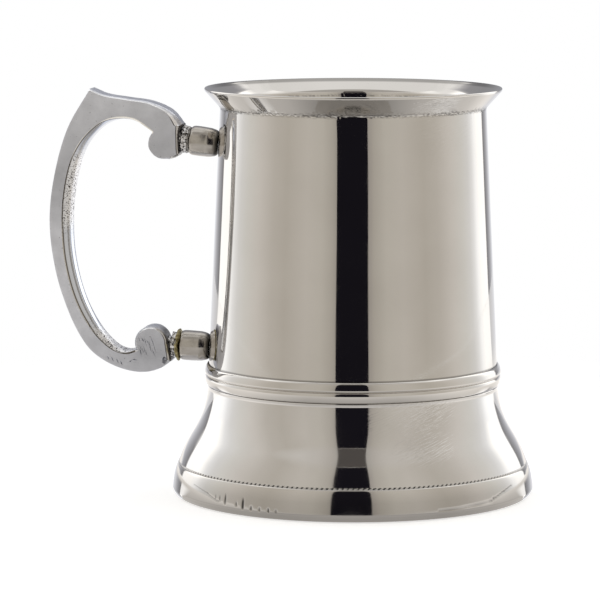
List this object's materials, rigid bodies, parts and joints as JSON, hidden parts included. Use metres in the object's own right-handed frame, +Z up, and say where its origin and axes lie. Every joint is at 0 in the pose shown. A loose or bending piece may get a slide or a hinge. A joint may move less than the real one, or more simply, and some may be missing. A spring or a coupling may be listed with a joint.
{
  "type": "metal tankard",
  "caption": "Polished steel drinking tankard: tapered cup with a flared lip, a beaded belt, a flared base on a rolled foot, and a cast handle held off the wall by ferrules.",
  "frame": {"origin": "on the cup's axis, at the middle of the base plate's underside, in the plane the tankard stands on", "axes": "+Z up along the cup's axis, -X towards the handle, Y square to the handle's flat sides"},
  "size_m": [0.1444, 0.107, 0.1204],
  "materials": {
    "polished_steel": "polished",
    "cast_steel": "satin",
    "braze_brass": "satin",
    "plain_steel": "satin"
  },
  "bodies": {
    "root": {"cup_wall": "polished_steel", "belt_ring": "polished_steel", "base_skirt": "polished_steel", "foot_band": "polished_steel", "cup_floor": "plain_steel", "base_plate": "plain_steel", "handle": "cast_steel", "upper_ferrule": "polished_steel", "lower_ferrule": "polished_steel", "upper_braze_ring": "braze_brass", "lower_braze_ring": "braze_brass", "upper_stud": "plain_steel", "lower_stud": "plain_steel"}
  },
  "joints": []
}
